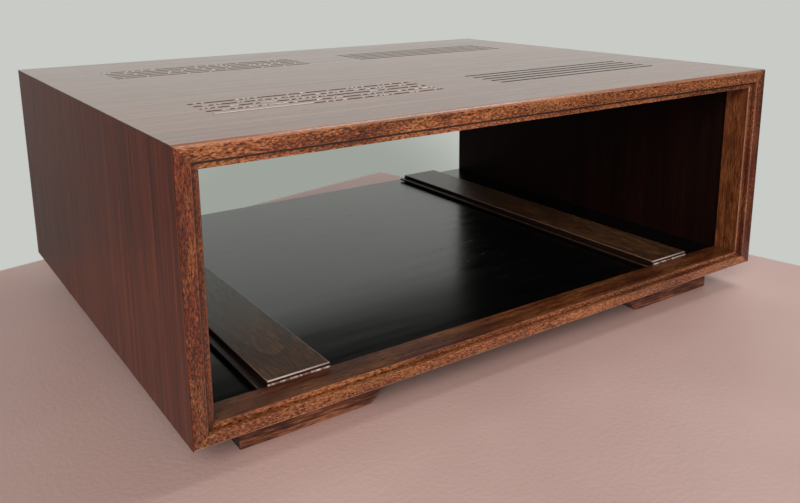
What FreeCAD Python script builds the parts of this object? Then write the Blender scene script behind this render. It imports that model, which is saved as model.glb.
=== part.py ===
import FreeCAD, Part
import os

# Open-fronted wooden cabinet for a hi-fi receiver.
# Millimetres. +X is the cabinet's right as seen from the front, +Y runs from front to back, +Z is up.
# The origin is on the surface that the cabinet stands on, below the middle of the cabinet.

# ---- driving dimensions ------------------------------------------------------------------------
WIDTH = 470.0              # outside width of the case
DEPTH = 365.0              # front edge to back edge
CASE_HEIGHT = 157.0        # case alone, without its feet

WALL = 10.0                # finished thickness of the top and of each side, veneers included
FLOOR = 7.0                # thickness of the bottom panel
VENEER = 0.6               # every veneer and rear edge band
ARRIS = 0.8                # softened outer edges of the case
REBATE = 5.0               # how far the bottom panel is let into each side

LIPPING_DEPTH = 22.5       # solid wood edging round the front opening, front to back
BAND = 9.2                 # flat outer band of the edging, top and sides
LIP = 4.5                  # inner lip of the edging, top and sides
BOTTOM_BAND = 6.7
BOTTOM_LIP = 3.5
STEP_BACK = 3.3            # the lip stands this far behind the band
LIP_ROUND = 0.9

SLOTS_PER_GROUP = 5
SLOT_PITCH = 10.0
SLOT_WIDTH = 2.8
SLOT_LENGTH = 161.5
SLOT_GROUP_GAP = 51.0      # between the left and the right groups
SLOT_ROW_INSET = 89.0      # from the front or back edge to the middle of a group

SPLINE_WIDTH = 6.0         # loose tongue across each top mitre
SPLINE_THICKNESS = 2.0

RUNNER_WIDTH = 40.0        # face width of each tongue-and-groove plank
RUNNER_THICKNESS = 6.0
RUNNER_OFFSET = 163.0      # middle of the case to the middle of a plank
RUNNER_LENGTH = 335.5
RUNNER_ARRIS = 0.7
TONGUE_WIDTH = 5.5
TONGUE_THICKNESS = 1.8
TONGUE_TOP = 3.0           # top of the tongue, measured up from the underside of the plank
GROOVE_DEPTH = 6.0
GROOVE_THICKNESS = 2.0

FOOT_HEIGHT = 19.5
FOOT_BASE = 84.0           # length that touches the shelf
FOOT_THICKNESS = 20.0
FOOT_MARGIN = 31.5         # from the side of the case to the end of the foot
FOOT_SETBACK = 17.0        # from the front or back edge to the face of the foot
FOOT_INNER_ROUND = 3.0
FOOT_OUTER_ROUND = 1.5
FOOT_ARRIS = 0.6

SCREW_DIAMETER = 3.5
SCREW_HEAD = 7.0
SCREW_LENGTH = 20.0
SCREW_HOLE = 3.7           # clearance hole through a foot
COUNTERBORE = 8.0
COUNTERBORE_DEPTH = 5.0
SCREW_SPACING = 52.0
RECESS_WIDTH = 1.0         # cross recess in the screw head
RECESS_LENGTH = 4.0
RECESS_DEPTH = 1.2

# ---- places worked out from them ---------------------------------------------------------------
LEFT = -WIDTH / 2
RIGHT = WIDTH / 2
FRONT = -DEPTH / 2
BACK = DEPTH / 2
BASE = FOOT_HEIGHT                     # underside of the case
TOP = FOOT_HEIGHT + CASE_HEIGHT
FLOOR_TOP = BASE + FLOOR
CORE = WALL - 2 * VENEER               # board between the veneers
PANEL_FRONT = FRONT + LIPPING_DEPTH    # where the boards start, behind the edging
PANEL_BACK = BACK - VENEER             # where the boards end, in front of the rear bands
PAST = 1.0                             # how far a cutter runs past the face it cuts


def vec(x, y, z):
    return FreeCAD.Vector(x, y, z)


def block(x0, x1, y0, y1, z0, z1):
    """A box between two corners."""
    return Part.makeBox(x1 - x0, y1 - y0, z1 - z0, vec(x0, y0, z0))


def prism_along_y(corners, y0, y1):
    """A prism whose outline is a list of (x, z) corners."""
    wire = Part.makePolygon([vec(x, y0, z) for x, z in corners + corners[:1]])
    return Part.Face(wire).extrude(vec(0, y1 - y0, 0))


def mirror_x(shape):
    return shape.mirror(vec(0, 0, 0), vec(1, 0, 0))


def mirror_y(shape):
    return shape.mirror(vec(0, 0, 0), vec(0, 1, 0))


def edges_at(shape, test):
    """The edges of a solid whose two ends both pass a test."""
    return [edge for edge in shape.Edges if all(test(v.Point) for v in edge.Vertexes)]


def near(a, b):
    return abs(a - b) < 1e-6


def one_solid(shape):
    """The single solid of a boolean result."""
    assert len(shape.Solids) == 1, "expected one solid, got %d" % len(shape.Solids)
    return shape.Solids[0]


# ---- the case's outer form ---------------------------------------------------------------------
def case_envelope():
    """The outside of the case with its edges softened. Every outer piece is trimmed to it."""
    body = block(LEFT, RIGHT, FRONT, BACK, BASE, TOP)
    return body.makeFillet(ARRIS, body.Edges)


def slot_cutters(z0, z1):
    """The vent slots of all four groups as round-ended cutters between two heights."""
    cutters = []
    radius = SLOT_WIDTH / 2
    for row_y in (FRONT + SLOT_ROW_INSET, BACK - SLOT_ROW_INSET):
        for side in (-1, 1):
            ends = sorted([side * SLOT_GROUP_GAP / 2, side * (SLOT_GROUP_GAP / 2 + SLOT_LENGTH)])
            x0, x1 = ends[0] + radius, ends[1] - radius
            for i in range(SLOTS_PER_GROUP):
                y = row_y + (i - (SLOTS_PER_GROUP - 1) / 2) * SLOT_PITCH
                middle = block(x0, x1, y - radius, y + radius, z0, z1)
                round_ends = [Part.makeCylinder(radius, z1 - z0, vec(x, y, z0)) for x in (x0, x1)]
                cutters.append(middle.multiFuse(round_ends).removeSplitter())
    return cutters


def mitre_spline(clearance=0.0):
    """The loose tongue set square across the top left mitre."""
    middle_x = LEFT + WALL / 2
    middle_z = TOP - WALL / 2
    half_width, half_thick = SPLINE_WIDTH / 2 + clearance, SPLINE_THICKNESS / 2
    spline = block(-half_width, half_width, PANEL_FRONT, PANEL_BACK, -half_thick, half_thick)
    spline.rotate(vec(0, 0, 0), vec(0, 1, 0), -45)
    spline.translate(vec(middle_x, 0, middle_z))
    return spline


# ---- boards ------------------------------------------------------------------------------------
def top_panel():
    """Core board of the top, mitred at both ends, with the vent slots."""
    low, high = TOP - WALL + VENEER, TOP - VENEER
    outline = [
        (LEFT + VENEER, high),
        (RIGHT - VENEER, high),
        (RIGHT - WALL + VENEER, low),
        (LEFT + WALL - VENEER, low),
    ]
    board = prism_along_y(outline, PANEL_FRONT, PANEL_BACK)
    spline = mitre_spline()
    cutters = slot_cutters(low - PAST, high + PAST) + [spline, mirror_x(spline)]
    return one_solid(board.cut(cutters))


def left_side_panel():
    """Core board of the left side: mitred at the top, rebated at the bottom for the floor."""
    outer, inner = LEFT + VENEER, LEFT + WALL - VENEER
    outline = [
        (outer, BASE),
        (LEFT + REBATE, BASE),
        (LEFT + REBATE, FLOOR_TOP),
        (inner, FLOOR_TOP),
        (inner, TOP - WALL + VENEER),
        (outer, TOP - VENEER),
    ]
    board = prism_along_y(outline, PANEL_FRONT, PANEL_BACK)
    return one_solid(board.cut(mitre_spline()).common(case_envelope()))


def bottom_panel():
    """The floor, let into both sides, with pilot holes for the foot screws."""
    board = block(LEFT + REBATE, RIGHT - REBATE, PANEL_FRONT, BACK, BASE, FLOOR_TOP)
    tip = COUNTERBORE_DEPTH + SCREW_LENGTH
    pilots = [
        Part.makeCylinder(SCREW_DIAMETER / 2, tip - BASE + PAST, vec(x, y, BASE - PAST))
        for x, y in screw_places()
    ]
    return one_solid(board.cut(pilots).common(case_envelope()))


# ---- veneers and rear bands --------------------------------------------------------------------
def top_veneer():
    """Face veneer of the top. It covers the upper edges of the side veneers."""
    sheet = block(LEFT, RIGHT, FRONT, BACK, TOP - VENEER, TOP)
    cutters = slot_cutters(TOP - VENEER - PAST, TOP + PAST)
    return one_solid(sheet.cut(cutters).common(case_envelope()))


def left_side_veneer():
    """Face veneer of the left side, from the front edge to the back edge."""
    sheet = block(LEFT, LEFT + VENEER, FRONT, BACK, BASE, TOP - VENEER)
    return one_solid(sheet.common(case_envelope()))


def top_inner_veneer():
    """Veneer on the underside of the top, between the side veneers, with the vent slots."""
    low, high = TOP - WALL, TOP - WALL + VENEER
    sheet = block(LEFT + WALL - VENEER, RIGHT - WALL + VENEER, PANEL_FRONT, PANEL_BACK, low, high)
    return one_solid(sheet.cut(slot_cutters(low - PAST, high + PAST)))


def left_inner_veneer():
    """Veneer on the inside of the left side, above the floor."""
    inner = LEFT + WALL
    return block(inner - VENEER, inner, PANEL_FRONT, PANEL_BACK, FLOOR_TOP, TOP - WALL)


def top_rear_band():
    """Edge band that covers the back edge of the top board and of its inner veneer."""
    band = block(LEFT + VENEER, RIGHT - VENEER, PANEL_BACK, BACK, TOP - WALL, TOP - VENEER)
    return one_solid(band.common(case_envelope()))


def left_rear_band():
    """Edge band that covers the back edge of the left board, below the top band."""
    outer, inner = LEFT + VENEER, LEFT + WALL
    outline = [
        (outer, BASE),
        (LEFT + REBATE, BASE),
        (LEFT + REBATE, FLOOR_TOP),
        (inner, FLOOR_TOP),
        (inner, TOP - WALL),
        (outer, TOP - WALL),
    ]
    band = prism_along_y(outline, PANEL_BACK, BACK)
    return one_solid(band.common(case_envelope()))


# ---- solid wood edging -------------------------------------------------------------------------
def lipping(along_x, outer, inner_direction, band, lip):
    """One length of stepped edging, before its mitres are cut.

    outer is the outer face's x or z, and inner_direction (1 or -1) points into the opening.
    """
    low, high = (LEFT, RIGHT) if along_x else (BASE, TOP)

    def slab(start, end, y0):
        a, b = sorted([outer + inner_direction * start, outer + inner_direction * end])
        if along_x:
            return block(low, high, y0, PANEL_FRONT, a, b)
        return block(a, b, y0, PANEL_FRONT, low, high)

    stick = slab(0, band, FRONT).fuse(slab(band, band + lip, FRONT + STEP_BACK)).removeSplitter()

    def across(point):
        return (point.z if along_x else point.x)

    def rounded(point):
        at_band = near(across(point), outer + inner_direction * band) and near(point.y, FRONT)
        at_lip = near(across(point), outer + inner_direction * (band + lip))
        return at_band or (at_lip and near(point.y, FRONT + STEP_BACK))

    def lengthwise(edge):
        a, b = (v.Point for v in edge.Vertexes)
        return near(across(a), across(b)) and near(a.y, b.y)

    edges = [edge for edge in edges_at(stick, rounded) if lengthwise(edge)]
    return stick.makeFillet(LIP_ROUND, edges)


def mitred_lippings():
    """The four lengths of edging, cut to their mitres and trimmed to the case's outer form."""
    x0, x1 = LEFT + VENEER, RIGHT - VENEER
    z1 = TOP - VENEER
    inner_x0, inner_x1 = LEFT + BAND + LIP, RIGHT - BAND - LIP
    inner_z0, inner_z1 = BASE + BOTTOM_BAND + BOTTOM_LIP, TOP - BAND - LIP
    envelope = case_envelope()

    def trimmed(stick, corners):
        wedge = prism_along_y(corners, FRONT - PAST, PANEL_FRONT + PAST)
        return one_solid(stick.common(wedge).common(envelope))

    top = trimmed(
        lipping(True, TOP, -1, BAND, LIP),
        [(x0, z1), (x1, z1), (inner_x1, inner_z1), (inner_x0, inner_z1)],
    )
    bottom = trimmed(
        lipping(True, BASE, 1, BOTTOM_BAND, BOTTOM_LIP),
        [(x0, BASE), (x1, BASE), (inner_x1, inner_z0), (inner_x0, inner_z0)],
    )
    left = trimmed(
        lipping(False, LEFT, 1, BAND, LIP),
        [(x0, BASE), (x0, z1), (inner_x0, inner_z1), (inner_x0, inner_z0)],
    )
    return {
        "front_top_lipping": top,
        "front_bottom_lipping": bottom,
        "front_left_lipping": left,
        "front_right_lipping": mirror_x(left),
    }


# ---- runners -----------------------------------------------------------------------------------
def runner(middle_x):
    """A plank of tongue-and-groove flooring, tongue to the left and groove to the right."""
    x0, x1 = middle_x - RUNNER_WIDTH / 2, middle_x + RUNNER_WIDTH / 2
    y0, y1 = PANEL_FRONT, PANEL_FRONT + RUNNER_LENGTH
    z0, z1 = FLOOR_TOP, FLOOR_TOP + RUNNER_THICKNESS
    plank = block(x0, x1, y0, y1, z0, z1)
    plank = plank.makeFillet(RUNNER_ARRIS, edges_at(plank, lambda p: near(p.z, z1)))
    tongue_z1 = z0 + TONGUE_TOP
    tongue = block(x0 - TONGUE_WIDTH, x0 + PAST, y0, y1, tongue_z1 - TONGUE_THICKNESS, tongue_z1)
    groove_z1 = tongue_z1 + (GROOVE_THICKNESS - TONGUE_THICKNESS) / 2
    groove = block(
        x1 - GROOVE_DEPTH, x1 + PAST, y0 - PAST, y1 + PAST, groove_z1 - GROOVE_THICKNESS, groove_z1
    )
    return one_solid(plank.fuse(tongue).cut(groove).removeSplitter())


# ---- feet and their screws ---------------------------------------------------------------------
def front_left_foot():
    """A block foot with an upright outer end and an inner end sloped at 45 degrees."""
    x0 = LEFT + FOOT_MARGIN
    x1 = x0 + FOOT_BASE
    y0 = FRONT + FOOT_SETBACK
    y1 = y0 + FOOT_THICKNESS
    outline = [(x0, 0), (x1, 0), (x1 + FOOT_HEIGHT, FOOT_HEIGHT), (x0, FOOT_HEIGHT)]
    foot = prism_along_y(outline, y0, y1)
    for x, radius in ((x0, FOOT_OUTER_ROUND), (x1, FOOT_INNER_ROUND)):
        corner = edges_at(foot, lambda p, x=x: near(p.x, x) and near(p.z, 0))
        foot = foot.makeFillet(radius, corner)
    foot = foot.makeFillet(FOOT_ARRIS, edges_at(foot, lambda p: near(p.z, 0)))
    for x, y in front_left_screws():
        foot = foot.cut([
            Part.makeCylinder(SCREW_HOLE / 2, FOOT_HEIGHT + 2 * PAST, vec(x, y, -PAST)),
            Part.makeCylinder(COUNTERBORE / 2, COUNTERBORE_DEPTH + PAST, vec(x, y, -PAST)),
            screw_head(x, y),
        ])
    return one_solid(foot)


def front_left_screws():
    """Where the front left foot's two screws stand."""
    middle_x = LEFT + FOOT_MARGIN + FOOT_BASE / 2
    y = FRONT + FOOT_SETBACK + FOOT_THICKNESS / 2
    return [(middle_x + side * SCREW_SPACING / 2, y) for side in (-1, 1)]


def screw_places():
    """Where all eight foot screws stand."""
    return [(sx * x, sy * y) for x, y in front_left_screws() for sx in (1, -1) for sy in (1, -1)]


def screw_head(x, y):
    """The countersunk head, wide end down."""
    depth = (SCREW_HEAD - SCREW_DIAMETER) / 2
    return Part.makeCone(SCREW_HEAD / 2, SCREW_DIAMETER / 2, depth, vec(x, y, COUNTERBORE_DEPTH))


def foot_screw(x, y):
    """A countersunk wood screw, driven up through a foot into the bottom panel."""
    z = COUNTERBORE_DEPTH
    shank = Part.makeCylinder(SCREW_DIAMETER / 2, SCREW_LENGTH, vec(x, y, z))
    half, arm = RECESS_WIDTH / 2, RECESS_LENGTH / 2
    cross = [
        block(x - arm, x + arm, y - half, y + half, z - PAST, z + RECESS_DEPTH),
        block(x - half, x + half, y - arm, y + arm, z - PAST, z + RECESS_DEPTH),
    ]
    return one_solid(shank.fuse(screw_head(x, y)).cut(cross).removeSplitter())


# ---- all pieces --------------------------------------------------------------------------------
def make_nodes():
    nodes = {
        "top_panel": top_panel(),
        "bottom_panel": bottom_panel(),
        "top_veneer": top_veneer(),
        "top_inner_veneer": top_inner_veneer(),
        "top_rear_band": top_rear_band(),
        "runner_left": runner(-RUNNER_OFFSET),
        "runner_right": runner(RUNNER_OFFSET),
    }
    left_pieces = {
        "side_panel": left_side_panel(),
        "side_veneer": left_side_veneer(),
        "inner_veneer": left_inner_veneer(),
        "rear_band": left_rear_band(),
        "mitre_spline": mitre_spline(),
    }
    for name, shape in left_pieces.items():
        nodes["left_" + name] = shape
        nodes["right_" + name] = mirror_x(shape)
    nodes.update(mitred_lippings())
    foot = front_left_foot()
    nodes["front_left_foot"] = foot
    nodes["front_right_foot"] = mirror_x(foot)
    nodes["rear_left_foot"] = mirror_y(foot)
    nodes["rear_right_foot"] = mirror_x(mirror_y(foot))
    nodes["foot_screws"] = Part.makeCompound([foot_screw(x, y) for x, y in screw_places()])
    return nodes


os.makedirs("parts", exist_ok=True)
for node, shape in make_nodes().items():
    assert shape.isValid() and shape.Volume > 0, node
    shape.exportStep("parts/%s.step" % node)
    print("%-24s %10.1f mm3" % (node, shape.Volume))
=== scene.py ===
# %% [markdown]
# # A wooden cabinet for a hi-fi receiver
# The cabinet is a veneered sleeve, open at the front and at the back. Solid wood edging with a step runs
# round the front opening, the top has four groups of vent slots, and inside, two lacquered flooring
# planks lie on a black floor. The imported CAD model gives every size and place, so this lesson starts by
# loading it and keeping its box.

# %% Load the imported cabinet
import math
import random

import bmesh
import bpy
from mathutils import Matrix, Vector, noise


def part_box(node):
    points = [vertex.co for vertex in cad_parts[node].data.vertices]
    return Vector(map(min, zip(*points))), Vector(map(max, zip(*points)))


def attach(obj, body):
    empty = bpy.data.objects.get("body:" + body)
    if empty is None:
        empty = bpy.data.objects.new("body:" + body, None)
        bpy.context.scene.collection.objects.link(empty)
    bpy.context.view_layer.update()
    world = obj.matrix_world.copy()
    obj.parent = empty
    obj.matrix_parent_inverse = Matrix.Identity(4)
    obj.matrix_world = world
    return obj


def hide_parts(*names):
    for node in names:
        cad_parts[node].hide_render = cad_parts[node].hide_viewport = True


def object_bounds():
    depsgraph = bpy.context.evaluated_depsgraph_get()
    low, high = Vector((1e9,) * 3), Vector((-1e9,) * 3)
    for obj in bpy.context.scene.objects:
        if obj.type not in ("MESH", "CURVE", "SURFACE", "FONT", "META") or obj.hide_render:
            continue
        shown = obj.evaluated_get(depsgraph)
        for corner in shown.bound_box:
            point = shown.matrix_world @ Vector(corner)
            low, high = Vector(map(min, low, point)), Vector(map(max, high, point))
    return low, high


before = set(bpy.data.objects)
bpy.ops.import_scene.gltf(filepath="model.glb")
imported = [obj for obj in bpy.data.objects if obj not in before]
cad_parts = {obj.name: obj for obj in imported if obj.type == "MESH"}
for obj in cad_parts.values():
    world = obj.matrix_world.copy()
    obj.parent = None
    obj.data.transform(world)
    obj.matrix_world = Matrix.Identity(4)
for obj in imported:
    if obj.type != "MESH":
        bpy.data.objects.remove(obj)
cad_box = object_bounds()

MM = 0.001
print("cabinet, mm:", [round(size / MM, 1) for size in cad_box[1] - cad_box[0]])

# %% [markdown]
# ## The camera
# The cabinet is seen from its front left, a little above its top, so the top shows as a thin bright
# plane and the opening shows the floor. The camera is turned to its bearing, tipped down and rolled by a
# hair, in that order. It could be aimed by a Track To constraint, but separate angles are easier to
# adjust one at a time. A small lens shift keeps the uprights nearly parallel without tipping it less.

# %% Camera
CAMERA_PLACE = Vector((-355.8, -544.3, 255.2)) * MM
CAMERA_BEARING = 34.4          # degrees from +Y towards +X
CAMERA_TIP = 12.9              # degrees below level
CAMERA_ROLL = 0.46
CAMERA_LENS = 36.9
CAMERA_SHIFT = -0.12


def turn(degrees, axis):
    return Matrix.Rotation(math.radians(degrees), 4, axis)


camera = bpy.data.objects.new("camera", bpy.data.cameras.new("camera"))
camera.matrix_world = (
    Matrix.Translation(CAMERA_PLACE)
    @ turn(-CAMERA_BEARING, "Z")
    @ turn(90 - CAMERA_TIP, "X")
    @ turn(-CAMERA_ROLL, "Z")
)
camera.data.lens = CAMERA_LENS
camera.data.shift_y = CAMERA_SHIFT
bpy.context.scene.collection.objects.link(camera)
bpy.context.scene.camera = camera
bpy.context.scene.view_settings.view_transform = "Standard"
print("camera: %.2f m away" % (CAMERA_PLACE - (cad_box[0] + cad_box[1]) / 2).length)

# %% [markdown]
# ## Writing materials as code
# A material is a small network of nodes, and so is the world. Adding each node and joining its sockets by
# hand takes many lines, so this class does both in one call: an input that is given a socket is joined to
# it, and one that is given a number or a colour is set to it. An input's name has underscores in place of
# its spaces, or is an underscore and its number. What is the same all over a surface is set straight on
# the shader, because an export can read it there.


# %% A helper that builds node networks
class Network:
    """A node tree under construction."""

    def __init__(self, tree):
        self.tree = tree

    def node(self, kind, settings=None, **inputs):
        """Adds a node, applies its settings, and sets or joins its inputs."""
        made = self.tree.nodes.new("ShaderNode" + kind)
        for key, value in (settings or {}).items():
            setattr(made, key, value)
        self.give(made, **inputs)
        return made

    def give(self, made, **inputs):
        for key, value in inputs.items():
            socket = made.inputs[int(key[1:])] if key[0] == "_" else made.inputs[key.replace("_", " ")]
            if isinstance(value, bpy.types.NodeSocket):
                self.tree.links.new(value, socket)
            elif socket.type == "RGBA" and len(value) == 3:
                socket.default_value = (*value, 1)
            else:
                socket.default_value = value

    def math(self, operation, first, second=0.0):
        return self.node("Math", {"operation": operation}, _0=first, _1=second).outputs[0]

    def ramp(self, value, stops):
        """A colour ramp through (position, colour) stops."""
        made = self.node("ValToRGB", Fac=value)
        elements = made.color_ramp.elements
        while len(elements) < len(stops):
            elements.new(0.5)
        for element, (position, colour) in zip(elements, stops):
            element.position = position
            element.color = (*colour, 1)
        return made.outputs["Color"]

    def spread(self, value, low, high, to_low=0.0, to_high=1.0):
        """Maps low..high to to_low..to_high, clamped."""
        made = self.node("MapRange", Value=value)
        for key, number in (("From Min", low), ("From Max", high), ("To Min", to_low), ("To Max", to_high)):
            made.inputs[key].default_value = number
        return made.outputs["Result"]

    def blend(self, amount, first, second):
        """Mixes two colours."""
        made = self.node("Mix", {"data_type": "RGBA"})
        self.give(made, _0=amount, _6=first, _7=second)
        return made.outputs[2]


class Finish(Network):
    """A material under construction."""

    def __init__(self, name):
        self.material = bpy.data.materials.new(name)
        self.material.use_nodes = True
        super().__init__(self.material.node_tree)
        self.shader = self.tree.nodes["Principled BSDF"]


def rgb(red, green, blue):
    """A colour that is given as it looks on a screen, from 0 to 255, in the linear values of a shader."""
    shares = [channel / 255 for channel in (red, green, blue)]
    return tuple(c / 12.92 if c < 0.04045 else ((c + 0.055) / 1.055) ** 2.4 for c in shares)


# %% [markdown]
# ## Wood
# Every wood here is one idea with different numbers. The object's own coordinates are turned so that the
# grain runs along the pattern's X, and then stretched: noise that is squeezed across the grain and
# stretched along it looks like fibre. Slow bands, fibres and short open pores make the figure, and a
# ribbon layer adds golden patches of interlocked grain, partly figure and partly painted glints. The
# fibres and pores also tilt the surface a little with a bump, because lacquered wood shows its grain mostly
# in how the reflections break up. A wood may be told to darken where a face looks along the grain: end
# grain drinks more stain than a side does, and the same darkening paints shade on end faces, as on the
# feet.
#
# The modelling steps below leave a value of wear and painted light on some faces: 1 on a rubbed arris,
# which is paler, partly wear and partly a painted highlight; 2 on a chip, which is pale raw wood with a
# painted glint; and -1 inside a saw cut, which is painted nearly black as the shade in the cut. Values in
# between blend, so painted shade in a corner is a little below 0. Faces without a value read as 0, which
# is sound lacquered wood.

# %% Layers that the woods share
GRAIN_TURN = {"X": (0, 0, 0), "Y": (0, 0, -math.pi / 2), "Z": (0, math.pi / 2, 0)}
# What the wear layer blends to: a pale arris, partly wear and partly a painted highlight; a pale chip, raw
# wood with a painted glint; and near black, which is painted shade in cuts and corners, and stain on end
# grain.
ARRIS_WEAR_AND_HIGHLIGHT_COLOUR = (0.60, 0.33, 0.22)
CHIP_AND_GLINT_COLOUR = (0.78, 0.68, 0.66)
SHADE_AND_STAIN_COLOUR = (0.010, 0.005, 0.004)
RELIEF = 0.12 * MM             # the height of fibres and brush strokes
SWAY = (0, 0.004, 0.004)       # how far the grain wanders, in metres
SWAY_COUNTS = (6, 16, 16)      # how often it does, to a metre
RIBBON_COUNTS = (26, 60)       # golden patches to a metre, along and across the grain
FIBRE_RANGE = (0.35, 0.65)     # these pairs are the values of a noise between which an effect grows
GLINT_RANGE = (0.38, 0.62)
RIBBON_RANGE = (0.42, 0.66)
PORE_RANGE = (0.54, 0.66)
RING_TONES = (0.42, 0.58)      # the quieter range that the rings are brought to
END_RANGE = (0.4, 0.8)         # how far a face has to look along the grain to count as end grain


def streaks(f, where, counts, detail=2.0, rough=0.55):
    """Noise with so many patches to a metre along and across the grain."""
    stretch = f.node("Mapping", Vector=where, Scale=(counts[0], counts[1], counts[1]))
    made = f.node("TexNoise", Vector=stretch.outputs[0], Scale=1.0, Detail=detail, Roughness=rough)
    return made.outputs["Fac"]


def wandering(f, where):
    """Coordinates in which straight grain wanders a little."""
    drift = f.node("Mapping", Vector=where, Scale=SWAY_COUNTS)
    drift = f.node("TexNoise", Vector=drift.outputs[0], Scale=1.0, Detail=1.0)
    sway = f.node("VectorMath", {"operation": "MULTIPLY_ADD"}, _0=drift.outputs["Color"], _2=where)
    sway.inputs[1].default_value = SWAY
    return sway.outputs[0]


def growth_rings(f, wavy, rings):
    """Rings round a tilted log heart, as flat-sawn boards show them."""
    log = f.node("Mapping", Vector=wavy, Location=rings["heart"], Rotation=rings["tilt"])
    wave = f.node("TexWave", {"wave_type": "RINGS", "rings_direction": "X", "wave_profile": "SAW"},
                  Vector=log.outputs[0], Scale=rings["scale"], Distortion=1.2, Detail=1.0)
    return f.spread(wave.outputs["Fac"], 0.0, 1.0, *RING_TONES)


def darker_ends(f, colour, grain, amount):
    """Darker where a face looks along the grain: end-grain stain, and painted shade on end faces."""
    normal = f.node("SeparateXYZ", Vector=f.node("TexCoord").outputs["Normal"]).outputs[grain]
    end_grain = f.spread(f.math("ABSOLUTE", normal), *END_RANGE)
    return f.blend(f.math("MULTIPLY", end_grain, amount), colour, SHADE_AND_STAIN_COLOUR)


def lay_wear_and_painted_light(f, colour, arris):
    """Lays rubbed arrises with painted highlights, chips with painted glints, and painted shade over a
    wood's colour.
    """
    wear_and_painted_light = f.node("Attribute", {"attribute_name": "wear_and_painted_light"}).outputs["Fac"]
    rubbed_and_highlight = f.math("MULTIPLY", f.spread(wear_and_painted_light, 0.0, 1.0), arris)
    colour = f.blend(rubbed_and_highlight, colour, ARRIS_WEAR_AND_HIGHLIGHT_COLOUR)
    colour = f.blend(f.spread(wear_and_painted_light, 1.0, 2.0), colour, CHIP_AND_GLINT_COLOUR)
    return f.blend(f.spread(wear_and_painted_light, -1.0, 0.0, 1.0, 0.0), colour, SHADE_AND_STAIN_COLOUR)


# %% One recipe for all the woods
TONE_SPAN = 0.16               # how far noise strays from 0.5 between the darkest and the lightest tone
FIBRE_HEIGHT, PORE_DEPTH = 0.6, 0.7


def wood(name, grain, tones, bands=(2.5, 70), fibres=(22, 900), band_share=0.6, contrast=1.0,
         pores=0.35, pore_counts=(170, 1500), ribbon=0.0, gold=None, rings=None, roughness=0.32,
         coat=0.35, gloss=0.5, arris=0.3, end_stain_and_shade=0.0, offset=0.0):
    """A lacquered wood. Pairs are counts to a metre along and across the grain."""
    f = Finish(name)
    where = f.node("TexCoord").outputs["Object"]
    turned = f.node("Mapping", Vector=where, Rotation=GRAIN_TURN[grain], Location=(offset, offset, offset))
    turned = turned.outputs[0]
    wavy = wandering(f, turned)

    fibre = streaks(f, wavy, fibres, detail=3.0, rough=0.65)
    band = growth_rings(f, wavy, rings) if rings else streaks(f, wavy, bands, detail=3.0)
    tone = f.math("ADD", f.math("MULTIPLY", band, band_share), f.math("MULTIPLY", fibre, 1 - band_share))
    tone = f.spread(tone, 0.5 - TONE_SPAN / contrast, 0.5 + TONE_SPAN / contrast)
    colour = f.ramp(tone, [(0.0, tones[0]), (0.5, tones[1]), (1.0, tones[2])])
    # Golden ribbon patches, partly figure and partly painted glints.
    if ribbon:
        patch = f.spread(streaks(f, turned, RIBBON_COUNTS), *RIBBON_RANGE)
        glint = f.math("MULTIPLY", patch, f.spread(fibre, *GLINT_RANGE))
        colour = f.blend(f.math("MULTIPLY", glint, ribbon), colour, gold)
    pore = f.spread(streaks(f, wavy, pore_counts, detail=1.0), *PORE_RANGE)
    colour = f.blend(f.math("MULTIPLY", pore, pores), colour, tones[0])
    # End faces are darker: stain on end grain, and painted shade.
    if end_stain_and_shade:
        colour = darker_ends(f, colour, grain, end_stain_and_shade)
    # Rubbed arrises with painted highlights, chips with painted glints, and painted shade.
    colour = lay_wear_and_painted_light(f, colour, arris)

    height = f.math("MULTIPLY", fibre, FIBRE_HEIGHT)
    height = f.math("SUBTRACT", height, f.math("MULTIPLY", pore, PORE_DEPTH))
    tilt = f.node("Bump", Strength=0.3, Distance=RELIEF, Height=height)
    uneven = f.spread(fibre, *FIBRE_RANGE, roughness * 0.85, roughness * 1.15)
    f.give(f.shader, Base_Color=colour, Roughness=uneven, Normal=tilt.outputs["Normal"])
    f.give(f.shader, Coat_Weight=coat, Coat_Roughness=0.12, IOR=1.5, Specular_IOR_Level=gloss)
    return f.material


# %% [markdown]
# ## The cabinet's own woods
# The face veneer is fine, straight and red-brown; on the top it is lighter, as light from above painted
# into its colour. The edging is solid, with short dark pores and golden patches, partly figure and partly
# painted glints where its interlocked grain catches the light, and its faces that look into the opening
# are darker, as painted shade. The inside is nearly black-red. The planks are flat-sawn: their figure is
# cut from growth rings round a heart that lies just below the board and is a little tilted, which draws
# the pointed loops. The feet are streaky.

# %% Woods of this cabinet
# The top's tones are lighter than the sides': light from above painted into the top's colour.
TOP_LIT_TONES = [rgb(80, 38, 26), rgb(122, 66, 46), rgb(150, 90, 66)]
SIDE_TONES = [rgb(54, 20, 12), rgb(89, 39, 24), rgb(116, 58, 38)]
EDGING_TONES = [rgb(60, 25, 12), rgb(134, 70, 38), rgb(206, 133, 86)]
# The colour of the painted glints on interlocked grain.
GOLD = rgb(208, 141, 82)
INNER_TONES = [rgb(8, 2, 1), rgb(24, 6, 3), rgb(40, 11, 6)]
STILE_TONES = [rgb(46, 16, 8), rgb(101, 42, 20), rgb(152, 79, 41)]
# The reveal's tones are darker than the edging's front: painted shade inside the opening.
REVEAL_SHADED_TONES = [rgb(50, 22, 11), rgb(96, 48, 26), rgb(136, 78, 45)]
PLANK_TONES = [rgb(44, 27, 17), rgb(86, 57, 38), rgb(134, 96, 65)]
FOOT_TONES = [rgb(56, 27, 18), rgb(108, 60, 41), rgb(164, 106, 78)]

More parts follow.
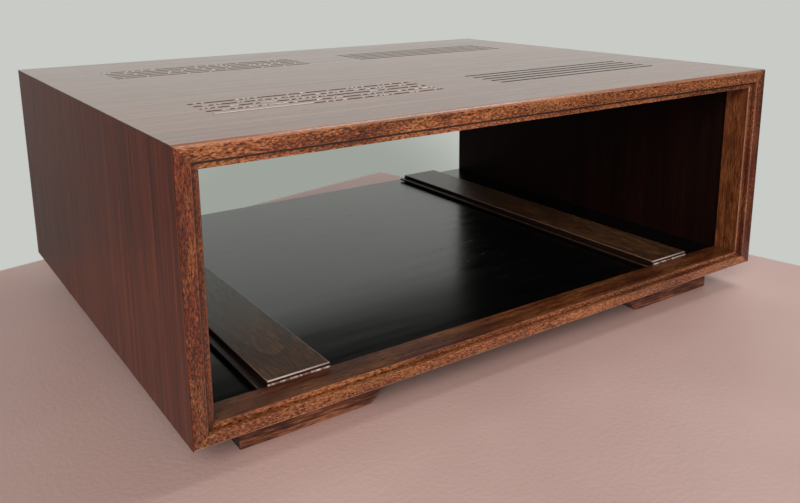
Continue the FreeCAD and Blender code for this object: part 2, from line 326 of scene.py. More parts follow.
edging_look = dict(bands=(12, 150), fibres=(470, 1300), band_share=0.32, contrast=1.5, pores=0.62,
                   pore_counts=(400, 1500), gold=GOLD, coat=0.4)
reveal_look = dict(bands=(10, 240), fibres=(110, 1100), contrast=1.05, pores=0.5, pore_counts=(220, 1400),
                   ribbon=0.3, gold=GOLD, arris=0.35, coat=0.3)
top_veneer_wood = wood("top_veneer_wood", "X", TOP_LIT_TONES, bands=(3, 150), pores=0.45)
side_veneer_wood = wood("side_veneer_wood", "Z", SIDE_TONES, bands=(8, 320), fibres=(26, 1000),
                        band_share=0.55, contrast=1.15, pores=0.55, pore_counts=(90, 1000),
                        offset=0.37, roughness=0.34, coat=0.0, gloss=0.24)
inner_side_wood = wood("inner_side_wood", "Z", INNER_TONES, offset=0.71, contrast=0.7, roughness=0.5,
                       coat=0.0, gloss=0.2)
inner_top_wood = wood("inner_top_wood", "X", INNER_TONES, offset=0.53, roughness=0.5, coat=0.0, gloss=0.2)
rear_band_wood = wood("rear_band_wood", "Z", SIDE_TONES, offset=0.11, contrast=1.3, coat=0.0,
                      gloss=0.25)
rail_wood = wood("rail_wood", "X", EDGING_TONES, ribbon=0.6, arris=0.45, **edging_look)
stile_wood = wood("stile_wood", "Z", STILE_TONES, ribbon=0.4, arris=0.15, offset=0.29, **edging_look)
rail_reveal_wood = wood("rail_reveal_wood", "X", REVEAL_SHADED_TONES, offset=0.17, **reveal_look)
stile_reveal_wood = wood("stile_reveal_wood", "Z", REVEAL_SHADED_TONES, offset=0.43, **reveal_look)
foot_wood = wood("foot_wood", "X", FOOT_TONES, bands=(22, 460), fibres=(110, 800), contrast=1.6,
                 pores=0.6, pore_counts=(110, 900), ribbon=0.35, gold=GOLD, end_stain_and_shade=0.85, coat=0.1,
                 roughness=0.45)


HEART_DEPTH = 12.0 * MM
HEART_TILT = (0, math.radians(2.2), math.radians(0.8))
RING_SCALE = 60.0


def plank_wood(name, middle):
    """Flooring whose log heart lies under the given X."""
    rings = {"heart": (0, middle, HEART_DEPTH), "tilt": HEART_TILT, "scale": RING_SCALE}
    return wood(name, "Y", PLANK_TONES, rings=rings, band_share=0.45, contrast=1.1, fibres=(70, 800),
                pores=0.55, pore_counts=(140, 900), end_stain_and_shade=0.6, coat=0.05, gloss=0.3,
                roughness=0.36)


plank_left_wood = plank_wood("plank_left_wood", -0.163)
plank_right_wood = plank_wood("plank_right_wood", 0.163)
print("woods:", len(bpy.data.materials))

# %% [markdown]
# ## Plywood, paint and steel
# The boards under the veneer only show in the slots, so their plies are plain layers by height. The floor
# is brushed black paint. A plain dark colour would look like plastic, so the paint has nearly no colour, a
# satin gloss that the brush strokes make uneven, and a few nibs and scratches in the bump. The foot screws
# are zinc plated, with a faint spangle.


# %% The other finishes
def core_board():
    f = Finish("core_board")
    where = f.node("TexCoord").outputs["Object"]
    layers = f.node("Mapping", Vector=where, Scale=(20, 20, 650))
    plies = f.node("TexNoise", Vector=layers.outputs[0], Scale=1.0, Detail=2.0)
    colour = f.ramp(plies.outputs["Fac"], [(0.35, rgb(38, 22, 16)), (0.6, rgb(96, 66, 48))])
    f.give(f.shader, Base_Color=colour, Roughness=0.75)
    return f.material


SCUFF_RANGE = (0.63, 0.72)
MARKED_RANGE = (0.5, 0.62)     # the parts of the floor that have scuffs at all
STROKE_RANGE = (0.3, 0.7)
SATIN = (0.17, 0.23)           # the roughness that the brush strokes go between


def black_paint():
    f = Finish("black_paint")
    where = f.node("TexCoord").outputs["Object"]
    brushed = f.node("Mapping", Vector=where, Scale=(12, 110, 110))
    strokes = f.node("TexNoise", Vector=brushed.outputs[0], Scale=1.0, Detail=4.0).outputs["Fac"]
    scuff_place = f.node("Mapping", Vector=where, Scale=(45, 150, 150), Rotation=(0, 0, 0.12))
    scuffs = f.node("TexNoise", Vector=scuff_place.outputs[0], Scale=1.0, Detail=3.0, Distortion=0.6)
    marked = f.node("TexNoise", Vector=where, Scale=11.0, Detail=1.0).outputs["Fac"]
    scuff = f.spread(scuffs.outputs["Fac"], *SCUFF_RANGE)
    scuff = f.math("MULTIPLY", scuff, f.spread(marked, *MARKED_RANGE))
    height = f.math("ADD", f.math("MULTIPLY", strokes, 0.35), f.math("MULTIPLY", scuff, 0.5))
    tilt = f.node("Bump", Strength=0.2, Distance=RELIEF, Height=height)
    colour = f.ramp(strokes, [(0.3, (0.0022, 0.0022, 0.0024)), (0.7, (0.004, 0.004, 0.004))])
    uneven = f.math("ADD", f.spread(strokes, *STROKE_RANGE, *SATIN), f.math("MULTIPLY", scuff, 0.12))
    f.give(f.shader, Base_Color=colour, Roughness=uneven, Normal=tilt.outputs["Normal"])
    f.give(f.shader, IOR=1.5, Specular_IOR_Level=0.42)
    return f.material


def zinc():
    f = Finish("zinc")
    where = f.node("TexCoord").outputs["Object"]
    spangle = f.node("TexNoise", Vector=where, Scale=900.0, Detail=2.0).outputs["Fac"]
    colour = f.ramp(spangle, [(0.3, rgb(150, 148, 140)), (0.7, rgb(196, 192, 178))])
    f.give(f.shader, Base_Color=colour, Roughness=0.35, Metallic=1.0)
    return f.material


core_wood = core_board()
floor_paint = black_paint()
screw_metal = zinc()
print("finishes:", core_wood.name, floor_paint.name, screw_metal.name)

# %% [markdown]
# ## Dressing the CAD pieces
# The boards, the floor, the inner faces, the rear bands, the feet and the screws already have the right
# shape, so modelling them again would gain nothing. They keep their CAD mesh and only take a finish. The
# table names a finish for each of them, and the loop puts it in place of what the node came with.

# %% Finishes for the CAD pieces
CAD_FINISHES = {
    "top_panel": core_wood,
    "left_side_panel": core_wood,
    "right_side_panel": core_wood,
    "left_mitre_spline": core_wood,
    "right_mitre_spline": core_wood,
    "bottom_panel": floor_paint,
    "top_inner_veneer": inner_top_wood,
    "left_inner_veneer": inner_side_wood,
    "right_inner_veneer": inner_side_wood,
    "top_rear_band": rear_band_wood,
    "left_rear_band": rear_band_wood,
    "right_rear_band": rear_band_wood,
    "front_left_foot": foot_wood,
    "front_right_foot": foot_wood,
    "rear_left_foot": foot_wood,
    "rear_right_foot": foot_wood,
    "foot_screws": screw_metal,
}
for node_name, finish in CAD_FINISHES.items():
    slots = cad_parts[node_name].data.materials
    slots.clear()
    slots.append(finish)
print("dressed CAD pieces:", len(CAD_FINISHES))

# %% [markdown]
# ## Modelling with bmesh
# The pieces that face the viewer are modelled again here, to give them softened arrises, joint lines and
# the slight waver of hand work. Most of them go the same way: start a bmesh with a layer for wear and
# painted light, sweep or place a plain shape, pick out edges by where they lie, round them, which also
# marks the new faces, mostly as rubbed arrises with a painted highlight, and make the result an object
# that takes the place of its CAD node.


# %% Helpers for pieces
def start():
    """An empty bmesh whose face corners can carry wear and painted light."""
    bm = bmesh.new()
    bm.loops.layers.float.new("wear_and_painted_light")
    return bm


def mark(bm, faces, wear_and_painted_light):
    """Writes a value of wear or painted light on the corners of some faces."""
    layer = bm.loops.layers.float["wear_and_painted_light"]
    for face in faces:
        for corner in face.loops:
            corner[layer] = wear_and_painted_light


def trim(bm, place, normal):
    """Cuts off what lies on the normal's side of a plane and closes the cut."""
    geometry = bm.verts[:] + bm.edges[:] + bm.faces[:]
    cut = bmesh.ops.bisect_plane(
        bm, geom=geometry, dist=1e-7, plane_co=place, plane_no=normal, clear_outer=True
    )
    rim = [item for item in cut["geom_cut"] if isinstance(item, bmesh.types.BMEdge)]
    bmesh.ops.contextual_create(bm, geom=rim)


def soften(bm, edges, radius, segments=3, wear_and_painted_light=1.0):
    """Rounds edges, and marks and smooths the faces that this makes."""
    made = bmesh.ops.bevel(
        bm, geom=edges, offset=radius, offset_type="OFFSET", segments=segments,
        profile=0.5, affect="EDGES", material=-1, clamp_overlap=True,
    )
    for face in made["faces"]:
        face.smooth = True
    mark(bm, made["faces"], wear_and_painted_light)


def waver(bm, amount, size):
    """Draws the vertices inwards by a slow random amount, as a sanding block would."""
    bm.normal_update()
    for vert in bm.verts:
        depth = amount * (0.5 + 0.5 * noise.noise(vert.co / size))
        vert.co -= vert.normal * max(depth, 0.0)


def piece(bm, name, materials, replaced):
    """Makes the bmesh an object of the cabinet that stands for a CAD node."""
    bmesh.ops.recalc_face_normals(bm, faces=bm.faces)
    mesh = bpy.data.meshes.new(name)
    bm.to_mesh(mesh)
    bm.free()
    for material in materials:
        mesh.materials.append(material)
    made = bpy.data.objects.new(name, mesh)
    bpy.context.scene.collection.objects.link(made)
    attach(made, "root")
    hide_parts(replaced)
    print("%s: %d faces" % (name, len(mesh.polygons)))


def slab(bm, low, high):
    """A box between two corners."""
    size = high - low
    place = Matrix.Translation((low + high) / 2) @ Matrix.Diagonal((*size, 1))
    bmesh.ops.create_cube(bm, size=1, matrix=place)


def cut_across(bm, axis, places):
    """Adds an edge loop at each place along an axis."""
    normal = Vector([float(i == axis) for i in range(3)])
    for value in places:
        geometry = bm.verts[:] + bm.edges[:] + bm.faces[:]
        bmesh.ops.bisect_plane(bm, geom=geometry, dist=1e-7, plane_co=normal * value, plane_no=normal)


def cut_evenly(bm, axis, begin, length, step):
    """Adds edge loops at even intervals of about a step along an axis."""
    count = int(length / step)
    cut_across(bm, axis, [begin + length * i / count for i in range(1, count)])


TOLERANCE = 1e-5               # metres


def close(a, b):
    return abs(a - b) < TOLERANCE


def edges_at(bm, x=None, y=None, z=None):
    """The edges that lie at the given coordinates."""
    wanted = [(axis, place) for axis, place in enumerate((x, y, z)) if place is not None]
    return [
        edge for edge in bm.edges
        if all(close(vert.co[axis], place) for vert in edge.verts for axis, place in wanted)
    ]


def sweep(bm, face, vector):
    """Extrudes a face along a vector."""
    swept = bmesh.ops.extrude_face_region(bm, geom=[face])
    moved = [item for item in swept["geom"] if isinstance(item, bmesh.types.BMVert)]
    bmesh.ops.translate(bm, verts=moved, vec=vector)
    bmesh.ops.recalc_face_normals(bm, faces=bm.faces)


# %% [markdown]
# ## The face veneers
# The case was veneered first and its front arrises were then sanded round, through the veneer and into
# the wood behind it. To get that, each sheet is made thick, its front edge is rounded with the full
# radius, and the sheet is trimmed to its real thickness afterwards. The other edges are only just broken,
# and where a sheet ends against its neighbour the edge stays square, which leaves a fine seam.

# %% Side veneers
FRONT_ROUND = 2.0 * MM
SHEET_ROUND = 0.3 * MM
THICK = 4.0 * MM


def side_face(side, outward):
    node_name = side + "_side_veneer"
    low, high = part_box(node_name)
    outer_x, inner_x = (high.x, low.x) if outward > 0 else (low.x, high.x)
    low.x, high.x = sorted((outer_x, outer_x - outward * THICK))
    bm = start()
    slab(bm, low, high)
    soften(bm, edges_at(bm, x=outer_x, y=high.y) + edges_at(bm, x=outer_x, z=low.z), SHEET_ROUND)
    soften(bm, edges_at(bm, x=outer_x, y=low.y), FRONT_ROUND, segments=4)
    trim(bm, Vector((inner_x, 0, 0)), Vector((-outward, 0, 0)))
    piece(bm, side + "_side_face", [side_veneer_wood], node_name)


side_face("left", -1)
side_face("right", 1)

# %% [markdown]
# ## The top veneer and its slots
# The sheet is cut along both edges of every slot, the slot cells are deleted above and below, and a bridge
# between the two rims makes the walls of each slot, which are painted dark as the shade inside the slot,
# less dark in the torn left slots. The left groups were cut less cleanly: there the rims are also cut every
# millimetre or so and moved outwards by noise, so the arris breaks in runs, as it does when a cutter tears
# the fibres. The torn faces are painted pale, as raw wood with a painted glint.

# %% Slot layout
SLOTS_PER_GROUP = 5
SLOT_PITCH = 10.0 * MM
SLOT_WIDTH = 2.8 * MM
SLOT_LENGTH = 161.5 * MM
SLOT_GROUP_GAP = 51.0 * MM
SLOT_ROW_INSET = 89.0 * MM

top_low, top_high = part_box("top_veneer")
slot_rows = [
    row + (i - (SLOTS_PER_GROUP - 1) / 2) * SLOT_PITCH
    for row in (top_low.y + SLOT_ROW_INSET, top_high.y - SLOT_ROW_INSET)
    for i in range(SLOTS_PER_GROUP)
]
slot_near, slot_far = SLOT_GROUP_GAP / 2, SLOT_GROUP_GAP / 2 + SLOT_LENGTH
slots = [(side, row) for side in (-1, 1) for row in slot_rows]
print("slots:", len(slots))


def in_slot(point, side, row):
    """True if a point is inside a slot or on its edge."""
    across = abs(point.y - row) < SLOT_WIDTH / 2 + TOLERANCE
    return across and slot_near - TOLERANCE < point.x * side < slot_far + TOLERANCE


# %% Slots and chips
SEAM = 0.45 * MM               # the shaded line where the top meets a side
CHIP_STEP = 1.0 * MM
CHIP_DEPTH = 0.45 * MM
CHIP_FALL = 0.32 * MM          # how far down a slot's wall the chips reach
CHIP_RUN = 8.0 * MM            # chips come in runs of about this length
CHIP_RATE = 1.3
CHIP_SEED = 11
SLOT_STRIDE = 3.7              # keeps the slots apart in the noise that makes the runs
TORN = (0.5, 0.7, 0.6, 0.45, 0.28)    # how broken the front left slots are, from the nearest back
BACK_TORN = 0.12               # how broken the back left slots are
LONG_TEAR = 0.6                # the share of the nearest slot that is clean, beside one long tear
LONG_TEAR_BITE = 1.7           # how deep that tear is, in chip depths
TORN_TILT = (0.3, 0.99)        # how far up a torn face looks
BACK_CLEARANCE = 5.0 * MM      # leaves the back arris out of the torn faces
# Painted shade on the slot walls, lighter in the torn left slots.
SLOT_SHADE, TORN_SLOT_SHADE = -1.0, -0.55
SEAM_WEAR = -0.6
# The torn faces are painted pale: raw wood with a painted glint.
CHIP_AND_GLINT = 2.0


def chip(bm):
    """Breaks the upper rims of the left slots."""
    random.seed(CHIP_SEED)
    for number, row in enumerate(slot_rows):
        torn = TORN[number] if number < len(TORN) else BACK_TORN
        rim = [
            vert for vert in bm.verts
            if close(abs(vert.co.y - row), SLOT_WIDTH / 2) and close(vert.co.z, top_high.z)
            and -slot_far + MM < vert.co.x < -slot_near - MM
        ]
        for vert in sorted(rim, key=lambda v: (v.co.y, v.co.x)):
            away = 1 if vert.co.y > row else -1
            run = 0.5 + noise.noise(Vector((vert.co.x / CHIP_RUN, number * SLOT_STRIDE, away)))
            bite = random.random() if random.random() < torn * run * CHIP_RATE else 0.0
            if number == 0 and away > 0 and vert.co.x < -slot_near - SLOT_LENGTH * LONG_TEAR:
                bite = LONG_TEAR_BITE
            vert.co.y += away * CHIP_DEPTH * bite


def cut_slots(bm):
    """Saws the slots through the sheet and paints their walls dark as the shade inside."""
    cut_across(bm, 0, [side * end for side in (-1, 1) for end in (slot_near, slot_far)])
    cut_across(bm, 1, [row + side * SLOT_WIDTH / 2 for row in slot_rows for side in (-1, 1)])
    cut_across(bm, 0, [-slot_far + CHIP_STEP * i for i in range(1, int(SLOT_LENGTH / CHIP_STEP))])
    cells = [
        face for face in bm.faces
        if any(in_slot(face.calc_center_median(), side, row) for side, row in slots)
    ]
    bmesh.ops.delete(bm, geom=cells, context="FACES")
    for side, row in slots:
        rims = [
            edge for edge in bm.edges
            if edge.is_boundary and all(in_slot(v.co, side, row) for v in edge.verts)
        ]
        walls = bmesh.ops.bridge_loops(bm, edges=rims)["faces"]
        # The walls are painted dark as the shade inside the slot.
        mark(bm, walls, SLOT_SHADE if side > 0 else TORN_SLOT_SHADE)


def torn_faces(bm):
    """The sloping faces that the chips have left round the left slots."""
    bm.normal_update()
    return [
        face for face in bm.faces
        if TORN_TILT[0] < abs(face.normal.z) < TORN_TILT[1]
        and abs(face.calc_center_median().y) < top_high.y - BACK_CLEARANCE
        and -slot_far - MM < face.calc_center_median().x < -slot_near + MM
    ]


# %% Top face
def top_face():
    low = Vector((top_low.x, top_low.y, top_high.z - THICK))
    bm = start()
    slab(bm, low, top_high)
    soften(bm, edges_at(bm, y=low.y, z=top_high.z), FRONT_ROUND, segments=4)
    soften(bm, edges_at(bm, y=top_high.y, z=top_high.z), SHEET_ROUND)
    seams = [edge for x in (low.x, top_high.x) for edge in edges_at(bm, x=x, z=top_high.z)]
    soften(bm, seams, SEAM, wear_and_painted_light=SEAM_WEAR)
    ends = [face for face in bm.faces if close(abs(face.calc_center_median().x), top_high.x)]
    mark(bm, ends, SEAM_WEAR)
    trim(bm, Vector((0, 0, top_low.z)), Vector((0, 0, -1)))
    cut_slots(bm)
    cut_across(bm, 2, [top_high.z - CHIP_FALL])
    chip(bm)
    torn = torn_faces(bm)
    # The torn faces are painted pale, raw wood with a painted glint.
    mark(bm, torn, CHIP_AND_GLINT)
    piece(bm, "top_face", [top_veneer_wood], "top_veneer")
    print("torn faces:", len(torn))


top_face()

# %% [markdown]
# ## The stepped edging
# Each length starts as its section: eight corners, made a face and extruded along the opening. Two of the
# corners lie beside the step's inner corner, and mark out the strip that is painted dark as shade in that
# corner. Two cutting planes through the corners of the opening make the mitres. The section starts out at
# the veneer's outer face, so that the same large round is on both, and the part that the veneer takes up
# is trimmed off after it. Cutting the length at intervals before that lets the finished surface waver, as
# hand-sanded wood does. The faces that look into the opening take a second material, with a quieter
# figure and darker tones that paint the shade inside the opening.

# %% Edging sizes
EDGING_DEPTH = 22.5 * MM
STEP_BACK = 3.3 * MM
LIP = {"top": 4.5 * MM, "left": 4.5 * MM, "right": 4.5 * MM, "bottom": 3.5 * MM}
EDGING_ARRIS = 0.9 * MM
# How far painted shade reaches out of the step's inner corner, and how dark it is there.
STEP_SHADE_WIDTH = {"top": 1.8 * MM, "left": 0.9 * MM, "right": 0.9 * MM, "bottom": 0.9 * MM}
STEP_SHADE = {"top": -0.85, "left": -0.5, "right": -0.5, "bottom": -0.5}
UNDER_ARRIS = 0.7 * MM         # the lower front arris, which no veneer shares
WAVER_STEP = 9.0 * MM
WAVER = 0.12 * MM
WAVER_SIZE = 22.0 * MM

opening = {
    "left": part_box("front_left_lipping")[1].x,
    "right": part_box("front_right_lipping")[0].x,
    "bottom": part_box("front_bottom_lipping")[1].z,
    "top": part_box("front_top_lipping")[0].z,
}
outside = {
    "left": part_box("front_left_lipping")[0].x,
    "right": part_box("front_right_lipping")[1].x,
    "bottom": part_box("front_bottom_lipping")[0].z,
    "top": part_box("front_top_lipping")[1].z,
}
skin = {"left": cad_box[0].x, "right": cad_box[1].x, "bottom": outside["bottom"], "top": cad_box[1].z}
print("opening, mm:", {side: round(place / MM, 1) for side, place in opening.items()})


# %% Edging
def across_and_along(side):
    """The axis numbers across and along a length of edging, and the sides at its two ends."""
    return (2, 0, ("left", "right")) if side in ("top", "bottom") else (0, 2, ("bottom", "top"))


def placed(side, a, y, b):
    """The point that lies a across a length of edging and b along it."""
    return Vector((b, y, a) if side in ("top", "bottom") else (a, y, b))


def edging_section(side, front):
    """The corners of the stepped section, as pairs of a place across and a Y."""
    outward = 1 if outside[side] > opening[side] else -1
    band = opening[side] + outward * LIP[side]
    lip_y, shade_width = front + STEP_BACK, STEP_SHADE_WIDTH[side]
    return [
        (skin[side], front),
        (band, front),
        (band, lip_y - shade_width),
        (band, lip_y),
        (band - outward * shade_width, lip_y),
        (opening[side], lip_y),
        (opening[side], front + EDGING_DEPTH),
        (skin[side], front + EDGING_DEPTH),
    ]


def cut_mitres(bm, side, front):
    """Cuts both ends along planes through the corners of the opening and of the outside."""
    along, ends = across_and_along(side)[1:]
    for end, away in zip(ends, (-1, 1)):
        corner = placed(side, outside[side], front, outside[end])
        mitre = (placed(side, opening[side], front, opening[end]) - corner).cross(Vector((0, 1, 0)))
        if mitre[along] * away < 0:
            mitre.negate()
        trim(bm, corner, mitre)


def edging(side, front_wood, reveal_wood):
    """One mitred length of the edging round the opening."""
    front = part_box("front_%s_lipping" % side)[0].y
    across, along, ends = across_and_along(side)
    section = edging_section(side, front)
    band, lip_y = section[3]
    begin, length = skin[ends[0]], skin[ends[1]] - skin[ends[0]]
    bm = start()
    face = bm.faces.new([bm.verts.new(placed(side, a, y, begin)) for a, y in section])
    sweep(bm, face, placed(side, 0, 0, length))
    for face in bm.faces:
        # Faces that look into the opening take the reveal wood, whose darker tones are painted shade.
        if all(close(v.co[across], opening[side]) for v in face.verts):
            face.material_index = 1
        # Faces beside the step's inner corner are painted dark as shade.
        reach = max(max(abs(v.co.y - lip_y), abs(v.co[across] - band)) for v in face.verts)
        if reach < STEP_SHADE_WIDTH[side] + TOLERANCE:
            mark(bm, [face], STEP_SHADE[side])
    cut_evenly(bm, along, begin, length, WAVER_STEP)
    cut_mitres(bm, side, front)

    def runs(y, place):
        return edges_at(bm, y=y, **{"xyz"[across]: place})

    soften(bm, runs(front, band) + runs(lip_y, opening[side]), EDGING_ARRIS, segments=4)
    soften(bm, runs(front, skin[side]), UNDER_ARRIS if side == "bottom" else FRONT_ROUND, segments=4)
    if side != "bottom":
        trim(bm, placed(side, outside[side], front, 0), placed(side, outside[side] - opening[side], 0, 0))
    waver(bm, WAVER, WAVER_SIZE)
    piece(bm, side + "_edging", [front_wood, reveal_wood], "front_%s_lipping" % side)


edging("top", rail_wood, rail_reveal_wood)
edging("bottom", rail_wood, rail_reveal_wood)
edging("left", stile_wood, stile_reveal_wood)
edging("right", stile_wood, stile_reveal_wood)

# %% [markdown]
# ## The planks
# They are ordinary tongue-and-groove flooring, cut to length. A box with a strip set against it would
# leave a joint line along the tongue, so the whole section is drawn, with the tongue on the left and the
# groove on the right, and swept to the plank's length. Its top arrises are softened by the lacquer, and a
# small bead of lacquer has gathered where its front end meets the edging. The front and right arrises and
# the bead are painted pale as highlights, and the tongue side is painted nearly black as shade. The bead
# goes in first, because it is cut into short steps and marked step by step with its painted highlights,
# while nothing else is in the bmesh yet. The plank is cut at intervals too: on faces as long as the plank,
# the rounded arrises would shade unevenly.

# %% Plank sizes
PLANK_ARRIS = 0.65 * MM
TONGUE_ARRIS = 0.3 * MM
TONGUE_WIDTH = 5.5 * MM
TONGUE_TOP = 3.0 * MM
TONGUE_THICKNESS = 1.8 * MM
GROOVE_DEPTH = 6.0 * MM
GROOVE_LOW, GROOVE_HIGH = 1.1 * MM, 3.1 * MM
SQUARE_ON, LEANING = 0.9, 0.2  # how far a face looks one way, by its normal
# Painted marks on the plank: the front and right arrises are painted pale as highlights, and the tongue
# side is painted nearly black as shade.
END_HIGHLIGHT = 1.6                 # the front arris, where the lacquer gleams
RIGHT_HIGHLIGHT = 1.4               # the right arris, which gleams a little less
TONGUE_SHADE = -0.95            # the tongue side, painted nearly black as shade
PLANK_STEP = WAVER_STEP
BEAD = 0.7 * MM
BEAD_STEP = 0.7 * MM
SHINE_SIZE = 1.7 * MM          # the size of the bright places on the bead
# How pale the bead's painted highlights are.
SHINE_LEVEL, SHINE_SWING = 1.3, 1.2
SHINE_LEAST, SHINE_MOST = 0.6, 1.8
print("tongue and groove, mm:", round(TONGUE_WIDTH / MM, 1), round(GROOVE_DEPTH / MM, 1))


# %% Planks
def bead(bm, start_x, end_x, y, z):
    """A thin bead of lacquer along X, painted bright as a highlight in some places and dull in others."""
    corners = [Vector((start_x, y, z)), Vector((start_x, y, z + BEAD)), Vector((start_x, y - BEAD, z))]
    sweep(bm, bm.faces.new([bm.verts.new(corner) for corner in corners]), Vector((end_x - start_x, 0, 0)))
    cut_evenly(bm, 0, start_x, end_x - start_x, BEAD_STEP)
    for face in bm.faces:
        shine = SHINE_LEVEL + SHINE_SWING * noise.noise(face.calc_center_median() / SHINE_SIZE)
        mark(bm, [face], min(max(shine, SHINE_LEAST), SHINE_MOST))


def plank(side, material):
    low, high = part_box("runner_" + side)
    body = low.x + TONGUE_WIDTH
    tongue_top = low.z + TONGUE_TOP
    groove_x, groove_low, groove_high = high.x - GROOVE_DEPTH, low.z + GROOVE_LOW, low.z + GROOVE_HIGH
    section = [
        (body, low.z), (high.x, low.z), (high.x, groove_low), (groove_x, groove_low),
        (groove_x, groove_high), (high.x, groove_high), (high.x, high.z), (body, high.z),
        (body, tongue_top), (low.x, tongue_top),
        (low.x, tongue_top - TONGUE_THICKNESS), (body, tongue_top - TONGUE_THICKNESS),
    ]
    bm = start()
    bead(bm, body, high.x, low.y, opening["bottom"])
    length = high.y - low.y
    sweep(bm, bm.faces.new([bm.verts.new((x, low.y, z)) for x, z in section]), Vector((0, length, 0)))
    cut_evenly(bm, 1, low.y, length, PLANK_STEP)
    rim = [
        edge
        for place in (dict(x=body), dict(x=high.x), dict(y=low.y), dict(y=high.y))
        for edge in edges_at(bm, z=high.z, **place)
    ]
    soften(bm, rim, PLANK_ARRIS)
    soften(bm, edges_at(bm, x=low.x, z=tongue_top), TONGUE_ARRIS)
    # The tongue side is painted dark as shade, and the front and right arrises pale as highlights.
    for face in bm.faces:
        middle, normal = face.calc_center_median(), face.normal
        top_arris = middle.z > high.z - PLANK_ARRIS and normal.z > LEANING
        if normal.x < -SQUARE_ON or (normal.z > SQUARE_ON and middle.x < body):
            mark(bm, [face], TONGUE_SHADE)
        elif top_arris and normal.y < -LEANING:
            mark(bm, [face], END_HIGHLIGHT)
        elif top_arris and normal.x > LEANING:
            mark(bm, [face], RIGHT_HIGHLIGHT)
    piece(bm, "plank_" + side, [material], "runner_" + side)


plank("left", plank_left_wood)
plank("right", plank_right_wood)

# %% [markdown]
# ## Stand, light and surroundings
# The cabinet stands on a plain pale padded bench, near its back edge. Lacquer at a low angle is nearly a
# mirror, so what surrounds the cabinet matters as much as the lamps: the bright wall behind it is what
# turns the dark top pale, and the dark room on the left is what keeps the side dark. A few colours that
# blend by direction are enough for that, and are easier to adjust than a picture of a room. The camera
# itself sees a plain wall, with a soft patch of painted shade low down behind the opening.

# %% Bench
BENCH_TURN = 12.4              # degrees
BENCH_BACK_RIGHT = Vector((0.212, 0.331, 0.0))
BENCH_SIZE = Vector((3.0, 2.6, 0.6))
BENCH_ROUND = 0.018
BENCH_FLAT_AREA = 0.2          # faces larger than this stay flat


def pale_leather():
    f = Finish("pale_leather")
    where = f.node("TexCoord").outputs["Object"]
    mottle = f.node("TexNoise", Vector=where, Scale=7.0, Detail=3.0).outputs["Fac"]
    colour = f.ramp(mottle, [(0.3, rgb(211, 178, 171)), (0.7, rgb(222, 189, 182))])
    pebbles = f.node("TexNoise", Vector=where, Scale=330.0, Detail=1.0).outputs["Fac"]
    tilt = f.node("Bump", Strength=0.35, Distance=0.0006, Height=pebbles)
    f.give(f.shader, Base_Color=colour, Roughness=0.5, Normal=tilt.outputs["Normal"])
    return f.material


bm = bmesh.new()
bmesh.ops.create_cube(bm, size=1, matrix=Matrix.Translation((-0.5, -0.5, -0.5)))
bmesh.ops.scale(bm, vec=BENCH_SIZE, verts=bm.verts)
bmesh.ops.bevel(
    bm, geom=bm.edges[:], offset=BENCH_ROUND, offset_type="OFFSET", segments=6,
    profile=0.5, affect="EDGES", material=-1, clamp_overlap=True,
)
bmesh.ops.transform(bm, verts=bm.verts, matrix=Matrix.Translation(BENCH_BACK_RIGHT) @ turn(BENCH_TURN, "Z"))
for face in bm.faces:
    face.smooth = face.calc_area() < BENCH_FLAT_AREA
bench_mesh = bpy.data.meshes.new("bench")
bm.to_mesh(bench_mesh)
bm.free()
bench_mesh.materials.append(pale_leather())
bench = bpy.data.objects.new("bench", bench_mesh)
bpy.context.scene.collection.objects.link(bench)
print("bench, m:", [round(size, 2) for size in BENCH_SIZE])

# %% World
WALL_COLOUR = rgb(200, 203, 198)
WALL_SHADE = rgb(157, 163, 155)
WALL_GLOW = (0.80, 0.82, 0.77)
ROOM_DARK = (0.05, 0.045, 0.045)
ROOM_FRONT = (0.205, 0.19, 0.175)
BELOW = (0.10, 0.08, 0.07)
DARK_BEARING, WALL_BEARING = 200, 38    # degrees from +Y towards +X
SHADE_BEARING, SHADE_RISE = 28, -22
GROUND_LOW, GROUND_HIGH = -0.6, -0.4    # the heights of a direction between which the ground fades


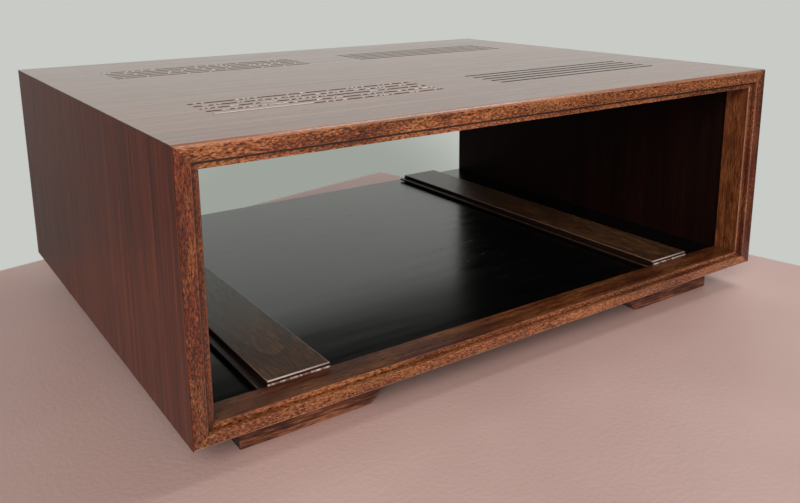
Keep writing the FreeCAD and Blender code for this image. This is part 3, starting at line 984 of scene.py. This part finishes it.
def facing(sky, direction, bearing, rise, low, high):
    """1 towards a bearing and a rise, fading to 0, by the cosine of the angle between."""
    level = math.cos(math.radians(rise))
    aim = (
        math.sin(math.radians(bearing)) * level,
        math.cos(math.radians(bearing)) * level,
        math.sin(math.radians(rise)),
    )
    dot = sky.node("VectorMath", {"operation": "DOT_PRODUCT"}, _0=direction, _1=aim)
    fade = sky.node("MapRange", {"interpolation_type": "SMOOTHSTEP"},
                    Value=dot.outputs["Value"], From_Min=low, From_Max=high)
    return fade.outputs["Result"]


def surroundings():
    """A bright wall behind and to the right, a dark room to the left, and dark below."""
    world = bpy.data.worlds.new("surroundings")
    bpy.context.scene.world = world
    world.use_nodes = True
    world.node_tree.nodes.clear()
    sky = Network(world.node_tree)

    direction = sky.node("TexCoord").outputs["Generated"]
    light = sky.blend(facing(sky, direction, DARK_BEARING, 0, low=-0.2, high=0.8), ROOM_DARK, ROOM_FRONT)
    light = sky.blend(facing(sky, direction, WALL_BEARING, 0, low=0.52, high=0.85), light, WALL_GLOW)
    height = sky.node("SeparateXYZ", Vector=direction).outputs["Z"]
    light = sky.blend(sky.spread(height, GROUND_LOW, GROUND_HIGH), BELOW, light)
    # Camera rays see the plain wall, with a soft patch of painted shade low down behind the opening.
    shade = facing(sky, direction, SHADE_BEARING, SHADE_RISE, low=0.958, high=0.986)
    seen = sky.blend(shade, WALL_COLOUR, WALL_SHADE)
    light = sky.blend(sky.node("LightPath").outputs["Is Camera Ray"], light, seen)
    background = sky.node("Background", Color=light)
    sky.node("OutputWorld", Surface=background.outputs[0])
    print("surroundings: %d nodes" % len(world.node_tree.nodes))


surroundings()


# %% Lamps
def soft_lamp(name, place, size, power, colour=(1, 1, 1)):
    """A square area lamp that faces the middle of the cabinet."""
    lamp = bpy.data.lights.new(name, "AREA")
    lamp.size, lamp.energy, lamp.color = size, power, colour
    made = bpy.data.objects.new(name, lamp)
    made.location = place
    middle = (cad_box[0] + cad_box[1]) / 2
    made.rotation_euler = (Vector(place) - middle).to_track_quat("Z", "Y").to_euler()
    bpy.context.scene.collection.objects.link(made)
    print("%s: %.1f m away, %g W" % (name, (made.location - middle).length, power))


soft_lamp("overhead", (1.1, -0.2, 1.9), 0.9, 14.0, (1.0, 0.98, 0.96))
soft_lamp("front_left_fill", (-1.15, -1.35, 0.95), 1.2, 27.5, (1.0, 0.97, 0.93))
